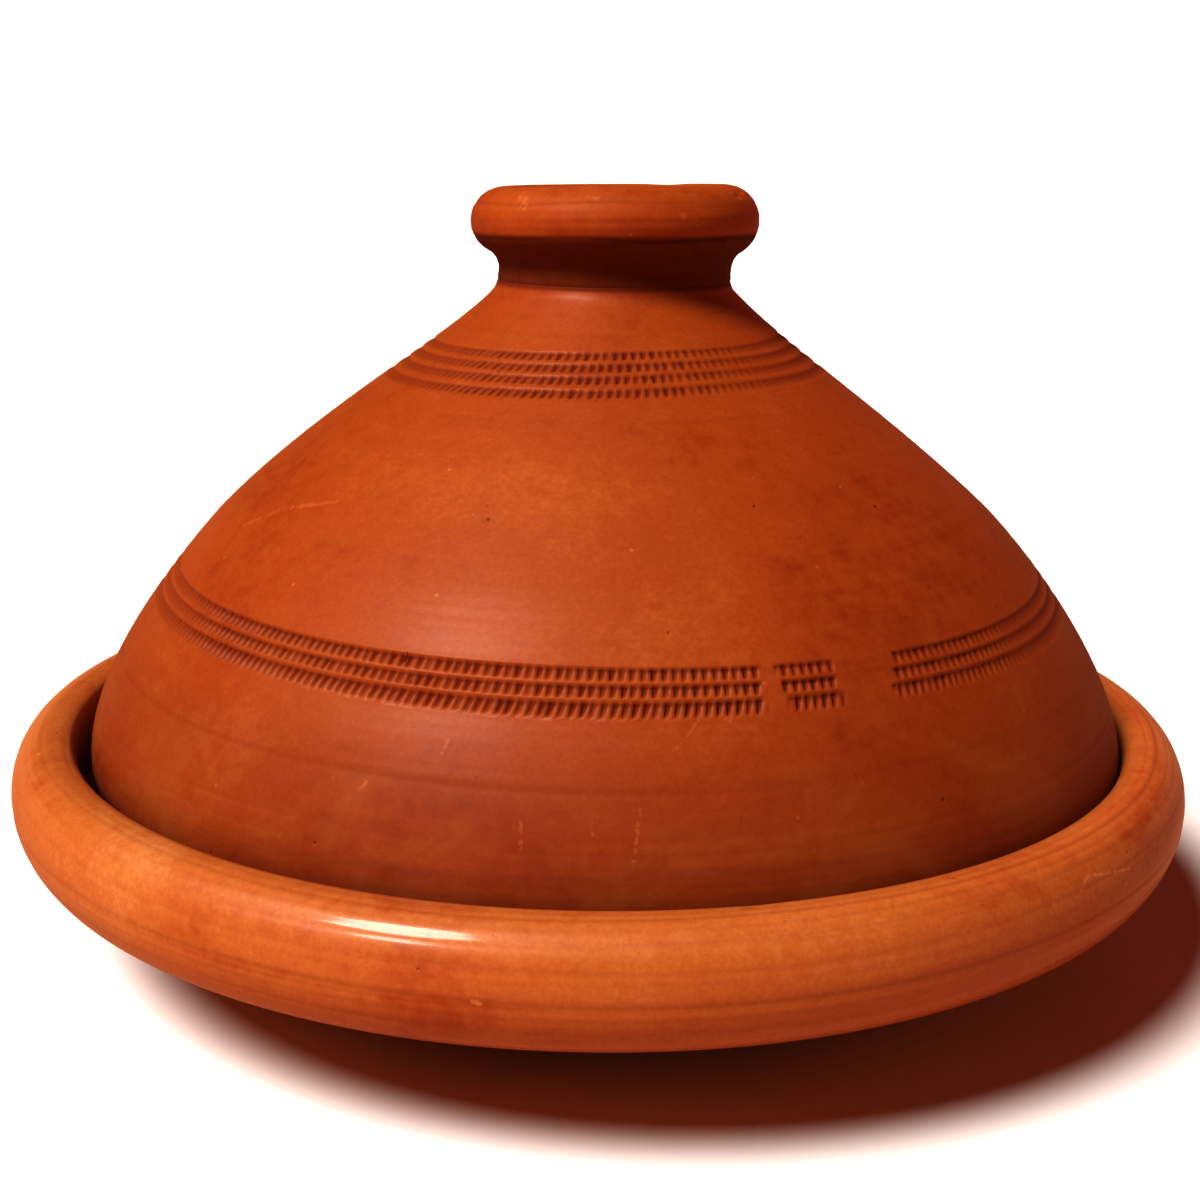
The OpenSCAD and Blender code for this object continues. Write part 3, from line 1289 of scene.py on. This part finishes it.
class Patterns:
    """The places and the random patterns that a clay's colour, shine and relief share."""

    def __init__(self, bench: Bench) -> None:
        """Adds the patterns.

        Args:
            bench: the material's bench.
        """
        self.spot = bench.node("ShaderNodeTexCoord").outputs["Object"]
        split = bench.node("ShaderNodeSeparateXYZ", {}, {0: self.spot})
        x, y, self.height = (Val(bench, split.outputs[i]) for i in range(3))
        self.around = bench.math(Sum.AROUND, y, x)
        # The mesh's dirt and painted shade, from 0 to 1.
        self.soot_and_shade = Val(bench, bench.node("ShaderNodeAttribute", {"attribute_name": SOOT_AND_SHADE}).outputs["Fac"])
        self.patches = bench.noise(self.spot, 16.0, 4.0, 0.55, 0.4)
        self.streaks = bench.noise(bench.stretched(self.spot, (5.0, 5.0, 210.0)), 1.0, 4.0, 0.6)
        self.hairs = bench.noise(bench.stretched(self.spot, (26.0, 26.0, 1150.0)), 1.0, 2.0, 0.5)
        self.grain = bench.noise(self.spot, 950.0, 3.0, 0.65)
        self.dust = bench.noise(self.spot, 260.0, 4.0, 0.6)
        self.fray = bench.noise(self.spot, 700.0, 2.0, 0.6)
        self.pits = bench.specks(self.spot, 210.0, 0.12, 0.90, 0.93)
        self.lime = bench.specks(self.spot, 150.0, 0.09, 0.86, 0.90)


@dataclass(frozen=True)
class ClayFinish:
    """Fired red clay, rubbed smooth before firing and never glazed.

    Attributes:
        name: the material's name.
        deep: colour of its darkest patches.
        body: its main colour.
        bright: colour of its palest patches.
        grime_and_shade: colour of the dirt in pressed marks and stains, and of the painted shade there and in
            recesses.
        rough: how rough the surface is.
        polish: how much of a rubbed skin it has, from 0 to 1.
        polish_rough: how rough that skin is.
        shine: strength of the clay's own broad shine, where 0.5 is a plain stone.
        streak: strength of the turning streaks.
        grain: height of the grain, in millimetres.
        pale: strength of the pale lime specks.
        radius: radius at which the strokes are unrolled, in millimetres.
        foot: strength of the darkening that climbs from the foot, part stain and part painted shade.
        foot_low: height at which that darkening is full, in millimetres.
        foot_high: height at which it has faded away.
        strokes: pale scrapes, at least one.
        near_shade: height above foot_low within which painted shade darkens the clay further, in millimetres.
        powder: colour of the pale powder in the stain.
    """

    name: str
    deep: Colour
    body: Colour
    bright: Colour
    grime_and_shade: Colour
    rough: float
    polish: float
    polish_rough: float
    shine: float
    streak: float
    grain: float
    pale: float
    radius: float
    foot: float = 0.0
    foot_low: float = 0.0
    foot_high: float = 1.0
    strokes: tuple[Stroke, ...] = ()
    near_shade: float = 16.0
    powder: Colour = linear(176, 128, 70)

    def pale_clay(self) -> Colour:
        """Gives the colour of dry scraped clay."""
        return tuple(min(1.0, 0.10 + 1.35 * c) for c in self.bright)

    def mottle(self, bench: Bench, marks: Patterns) -> bpy.types.NodeSocket:
        """Mottles the clay from its deep colour through its main one to its bright one, with pits and lime.

        Args:
            bench: the material's bench.
            marks: the material's patterns.

        Returns:
            The colour's socket.
        """
        shade = marks.patches * 0.66 + marks.streaks * self.streak + marks.dust * 0.30
        shade = shade + (marks.hairs - 0.5) * (0.35 * self.streak)
        middle = 0.48 + 0.5 * self.streak
        colour = bench.mix(shade.rise(middle - 0.22, middle + 0.02), self.deep, self.body)
        colour = bench.mix(shade.rise(middle + 0.01, middle + 0.24), colour, self.bright)
        colour = bench.mix((marks.grain - 0.5) * 0.8 + 0.26, colour, self.deep)
        colour = bench.mix(marks.pits * 0.6, colour, self.grime_and_shade)
        return bench.mix(marks.lime * self.pale, colour, self.pale_clay())

    def stain_and_shade(self, bench: Bench, marks: Patterns, colour: bpy.types.NodeSocket) -> bpy.types.NodeSocket:
        """Lays the darkening that climbs from the foot over a colour, with pale powder in it: part stain,
        part painted shade, with more painted shade just above foot_low.

        Args:
            bench: the material's bench.
            marks: the material's patterns.
            colour: the colour's socket.

        Returns:
            The stained and shaded colour's socket.
        """
        climb = 1.0 - marks.height.rise(self.foot_low * MM, self.foot_high * MM)
        powder = bench.noise(bench.stretched(marks.spot, (1.0, 1.0, 1.6)), 38.0, 5.0, 0.62, 0.6)
        ochre = tuple(0.55 * a + 0.45 * b for a, b in zip(self.bright, self.powder))
        colour = bench.mix(climb * powder.rise(0.46, 0.72) * 0.6, colour, ochre)
        # The darkening is part stain, part painted shade; the last term adds painted shade just above
        # foot_low, where the dish's rim shades the lid.
        stain_and_shade = climb * self.foot + (climb * climb) * (1.2 * (marks.streaks - 0.5))
        near_shade = 1.0 - marks.height.rise(self.foot_low * MM, (self.foot_low + self.near_shade) * MM)
        return bench.mix((stain_and_shade + near_shade * 0.35).clamp(), colour, self.grime_and_shade)

    def relief(self, marks: Patterns, scrapes: Val) -> Val:
        """Adds up the fine relief: grain, dust and streaks, with pits and scrapes cut in.

        Args:
            marks: the material's patterns.
            scrapes: strength of the scrapes.

        Returns:
            The height, in millimetres.
        """
        height = marks.grain * self.grain + marks.dust * (1.1 * self.grain)
        height = height + marks.hairs * (0.9 * self.grain) + marks.streaks * (1.6 * self.grain)
        return height - marks.pits * 0.22 - scrapes * 0.02

    def build(self) -> bpy.types.Material:
        """Puts the material together.

        Returns:
            The material.
        """
        bench = Bench(self.name)
        marks = Patterns(bench)
        colour = self.mottle(bench, marks)
        if self.foot:
            colour = self.stain_and_shade(bench, marks, colour)
        masks = [stroke.mask(bench, marks, self.radius * MM) for stroke in self.strokes]
        scrapes = reduce(lambda one, other: bench.math(Sum.LARGER, one, other), masks)
        colour = bench.mix(scrapes, colour, self.pale_clay())
        # Darkens towards the dirt colour by the mesh attribute of dirt and painted shade: pits, grooves, the
        # lute and the knob's recess.
        dirt_and_shade = (marks.soot_and_shade * (0.92 + 0.4 * (marks.dust - 0.5))).clamp() * 0.84
        colour = bench.mix(dirt_and_shade, colour, self.grime_and_shade)

        gloss = (marks.streaks - 0.5) * 0.22 + (marks.dust - 0.5) * 0.20 + (marks.grain - 0.5) * 0.10
        roughness = (self.rough + gloss + marks.soot_and_shade * 0.25 + marks.pits * 0.2).clamp()
        sheen = (self.polish * (1.0 - marks.soot_and_shade * 0.9) * (0.62 + 0.9 * (marks.streaks - 0.15))).clamp()
        bump = bench.node(
            "ShaderNodeBump", {}, {"Strength": 1.0, "Distance": MM, "Height": self.relief(marks, scrapes)})
        skin = bench.node("ShaderNodeBsdfPrincipled", {}, {
            "Base Color": colour, "Roughness": roughness, "Normal": bump.outputs[0],
            "Coat Weight": sheen, "Coat Roughness": self.polish_rough, "Coat IOR": 1.45,
            "Specular IOR Level": self.shine,
        })
        bench.node("ShaderNodeOutputMaterial", {}, {"Surface": skin.outputs[0]})
        return bench.material


def lid_finish(rim: float) -> ClayFinish:
    """Gives the lid's deep orange-red clay, with the pale scrapes on its flank.

    Args:
        rim: height of the middle of the dish's rim, in millimetres.

    Returns:
        The finish.
    """
    return ClayFinish(
        name="lid_terracotta",
        deep=linear(146, 63, 17),
        body=linear(173, 92, 33),
        bright=linear(187, 111, 49),
        # Colour of dirt, also used for painted shade in the teeth, on the lute and in the darkening above the
        # rim.
        grime_and_shade=linear(104, 31, 8),
        rough=0.62,
        polish=0.18,
        polish_rough=0.34,
        shine=0.28,
        streak=0.16,
        grain=0.010,
        pale=0.3,
        radius=110.0,
        # Darkening from the rim up: part stain, part painted shade.
        foot=0.44,
        foot_low=rim,
        foot_high=rim + 66.0,
        strokes=(
            Stroke((-152.4, -145.0), (rim + 68.5, rim + 74.0), 0.70, 0.14),
            Stroke((-145.0, -134.0), (rim + 74.0, rim + 77.8), 0.60, 0.16),
            Stroke((-96.7, -96.9), (rim + 22.0, rim + 27.0), 0.45, 0.17),
            Stroke((-90.4, -90.5), (rim + 24.0, rim + 27.5), 0.40, 0.16),
            Stroke((-86.3, -86.9), (rim + 29.5, rim + 20.5), 0.50, 0.17),
            Stroke((-80.5, -82.5), (rim + 44.0, rim + 40.0), 0.45, 0.14),
            Stroke((-104.6, -105.1), (rim + 40.0, rim + 38.0), 0.50, 0.19),
            Stroke((-112.2, -112.6), (rim + 31.0, rim + 29.4), 0.55, 0.19),
            Stroke((-65.2, -64.6), (rim + 34.0, rim + 30.5), 0.40, 0.12),
            Stroke((70.0, 84.0), (rim + 70.0, rim + 62.0), 0.50, 0.14),
            Stroke((150.0, 152.0), (rim + 30.0, rim + 36.0), 0.50, 0.14),
        ),
    )


def dish_finish(rim: float) -> ClayFinish:
    """Gives the dish's lighter orange clay, rubbed glossy on the rim.

    Args:
        rim: height of the middle of the rim, in millimetres.

    Returns:
        The finish.
    """
    return ClayFinish(
        name="dish_terracotta",
        deep=linear(170, 80, 34),
        body=linear(200, 130, 68),
        bright=linear(215, 155, 96),
        grime_and_shade=linear(130, 60, 28),
        rough=0.50,
        polish=0.43,
        polish_rough=0.11,
        shine=0.42,
        streak=0.20,
        grain=0.008,
        pale=0.3,
        radius=149.0,
        strokes=(
            Stroke((-49.5, -46.5), (rim + 4.5, rim + 9.0), 0.50, 0.28),
            Stroke((-46.5, -40.0), (rim + 9.0, rim + 6.0), 0.40, 0.25),
            Stroke((-98.8, -98.2), (rim + 0.4, rim - 0.6), 0.70, 0.30),
            Stroke((118.0, 124.0), (rim + 6.0, rim + 2.0), 0.50, 0.23),
        ),
    )


def knob_finish(top: float) -> ClayFinish:
    """Gives the knob's clay: the lid's, a little paler and more worn by hands.

    Args:
        top: height of the knob's top, in millimetres.

    Returns:
        The finish.
    """
    return ClayFinish(
        name="knob_terracotta",
        deep=linear(158, 72, 24),
        body=linear(180, 99, 39),
        bright=linear(197, 121, 58),
        # Colour of dirt, also used for the painted shade in the recess below the lip.
        grime_and_shade=linear(72, 17, 4),
        rough=0.66,
        polish=0.05,
        polish_rough=0.36,
        shine=0.26,
        streak=0.20,
        grain=0.014,
        pale=0.3,
        radius=36.0,
        strokes=(
            Stroke((-128.0, -124.5), (top - 3.0, top - 4.4), 1.60, 0.20),
            Stroke((-60.5, -54.5), (top - 6.4, top - 7.6), 0.80, 0.15),
            Stroke((-96.0, -92.0), (top - 2.4, top - 2.9), 0.80, 0.14),
            Stroke((42.0, 48.0), (top - 4.0, top - 5.0), 1.20, 0.20),
        ),
    )


# ---------------------------------------------------------------------------------------------------------
# Studio
# ---------------------------------------------------------------------------------------------------------


@dataclass
class Studio:
    """A plain pale floor that rises gently far away, one soft lamp from the upper left, and the camera.

    Attributes:
        eye: the camera's place, in metres.
        tilt: how far it looks down, in degrees.
        roll: how far it is turned about its line of sight, in degrees.
        lens: its focal length on a 36 mm frame, in millimetres.
        sun_way: direction towards the lamp.
        sun_power: brightness of the lamp.
        sun_spread: apparent size of the lamp, in degrees.
        back_way: direction towards the weak lamp behind the pot.
        back_power: brightness of that lamp.
        back_spread: its apparent size, in degrees.
        sky: brightness of the light from all round.
        warm: colour of the light that fills the shadows.
        contrast: power to which the shown brightness is raised.
        floor_seen: colour of the floor as the eye sees it.
        floor_thrown: colour of the light that it throws back.
        floor_reach: how far the floor goes, in metres.
        floor_flat: how far it stays flat.
        floor_rise: how high it has risen at its edge.
        floor_spokes: points in each ring of the floor.
        floor_hoops: number of its rings.
        floor_spread: power by which the rings draw apart outwards.
    """

    eye: Way
    tilt: float = -14.31
    roll: float = 0.54
    lens: float = 52.12
    sun_way: Way = (-0.46, -0.40, 0.79)
    sun_power: float = 4.8
    sun_spread: float = 22.0
    back_way: Way = (0.50, 0.70, 0.52)
    back_power: float = 0.42
    back_spread: float = 50.0
    sky: float = 0.082
    warm: Colour = (1.0, 0.145, 0.08)
    contrast: float = 1.5
    floor_seen: Colour = (0.93, 0.93, 0.92)
    floor_thrown: Colour = (0.64, 0.35, 0.22)
    floor_reach: float = 9.0
    floor_flat: float = 0.7
    floor_rise: float = 1.5
    floor_spokes: int = 96
    floor_hoops: int = 60
    floor_spread: float = 1.6

    def build(self) -> None:
        """Sets up the camera, the light and the floor."""
        shown = bpy.context.scene.view_settings
        shown.view_transform = "Standard"
        shown.gamma = 1.0 / self.contrast
        self.camera()
        self.light()
        self.floor()

    def camera(self) -> None:
        """Places the camera and makes it the scene's own."""
        data = bpy.data.cameras.new("camera")
        data.lens = self.lens
        data.sensor_width = 36.0
        data.clip_start = 0.01
        data.clip_end = 60.0
        camera = bpy.data.objects.new("camera", data)
        bpy.context.scene.collection.objects.link(camera)
        turn = Matrix.Rotation(math.radians(90.0 + self.tilt), 4, "X") @ Matrix.Rotation(
            math.radians(self.roll), 4, "Z")
        camera.matrix_world = Matrix.Translation(Vector(self.eye)) @ turn
        bpy.context.scene.camera = camera

    def light(self) -> None:
        """Hangs the lamps and fills the room with weak light from all round."""
        self.lamp("lamp", self.sun_way, self.sun_power, self.sun_spread, (1.0, 0.985, 0.95))
        self.lamp("back_lamp", self.back_way, self.back_power, self.back_spread, self.warm)
        world = bpy.data.worlds.new("room")
        world.use_nodes = True
        back = world.node_tree.nodes["Background"]
        back.inputs[0].default_value = (*self.warm, 1.0)
        back.inputs[1].default_value = self.sky
        bpy.context.scene.world = world

    def lamp(self, name: str, way: Way, power: float, spread: float, colour: Colour) -> None:
        """Hangs a far soft lamp.

        Args:
            name: its name.
            way: the direction towards it.
            power: its brightness.
            spread: its apparent size, in degrees.
            colour: the colour of its light.
        """
        light = bpy.data.lights.new(name, "SUN")
        light.energy = power
        light.angle = math.radians(spread)
        light.color = colour
        holder = bpy.data.objects.new(name, light)
        bpy.context.scene.collection.objects.link(holder)
        holder.rotation_euler = Vector(way).to_track_quat("Z", "Y").to_euler()

    def floor(self) -> None:
        """Lays the floor: flat round the pot, then rising with the square of the distance.

        It looks pale but throws only a weak warm light back at the pot, as a matt cloth would.
        """
        spokes, hoops = self.floor_spokes, self.floor_hoops
        angle = np.arange(spokes) * TURN / spokes
        reach = np.linspace(0.0, 1.0, hoops + 1)[1:] ** self.floor_spread * self.floor_reach
        far = np.clip((reach - self.floor_flat) / (self.floor_reach - self.floor_flat), 0.0, 1.0)
        height = self.floor_rise * far * far
        grid = np.stack([
            reach[:, None] * np.cos(angle)[None, :], reach[:, None] * np.sin(angle)[None, :],
            np.repeat(height[:, None], spokes, 1)], -1).reshape(-1, 3)
        i = np.arange(hoops - 1)[:, None] * spokes
        j = np.arange(spokes)[None, :]
        k = (j + 1) % spokes
        quads = np.stack([i + j, i + spokes + j, i + spokes + k, i + k], -1).reshape(-1, 4)
        centre = len(grid)
        fan = np.stack([np.full(spokes, centre), j[0], k[0]], -1)
        mesh = bpy.data.meshes.new("floor")
        mesh.from_pydata(grid.tolist() + [[0.0, 0.0, 0.0]], [], quads.tolist() + fan.tolist())
        mesh.update()
        mesh.shade_smooth()
        bench = Bench("pale_floor")
        seen = bench.node("ShaderNodeBsdfDiffuse", {}, {"Color": (*self.floor_seen, 1.0)})
        thrown = bench.node("ShaderNodeBsdfDiffuse", {}, {"Color": (*self.floor_thrown, 1.0)})
        path = bench.node("ShaderNodeLightPath")
        paint = bench.node(
            "ShaderNodeMixShader", {},
            {0: path.outputs["Is Camera Ray"], 1: thrown.outputs[0], 2: seen.outputs[0]})
        bench.node("ShaderNodeOutputMaterial", {}, {"Surface": paint.outputs[0]})
        mesh.materials.append(bench.material)
        floor = bpy.data.objects.new("floor", mesh)
        bpy.context.scene.collection.objects.link(floor)


def main() -> None:
    """Builds the pot and the studio."""
    logging.basicConfig(level=logging.INFO, format="%(name)s: %(message)s")
    dish = Dish("cooking_dish", "dish", Body.DISH, Clay.DISH, 390)
    rim = dish.rim_height
    lid = Lid("pot_lid", "lid", Body.LID, Clay.LID, 200, rim_height=rim)
    knob = Knob("lid_knob", "knob", Body.LID, Clay.LID, 300)
    finishes = ((dish, dish_finish(rim)), (lid, lid_finish(rim)), (knob, knob_finish(knob.high[2])))
    for piece, finish in finishes:
        piece.build().data.materials.append(finish.build())
    Studio(eye=(0.0, -0.4434, (rim + 153.0) * MM)).build()
    bpy.context.view_layer.update()


if __name__ == "__main__":
    main()
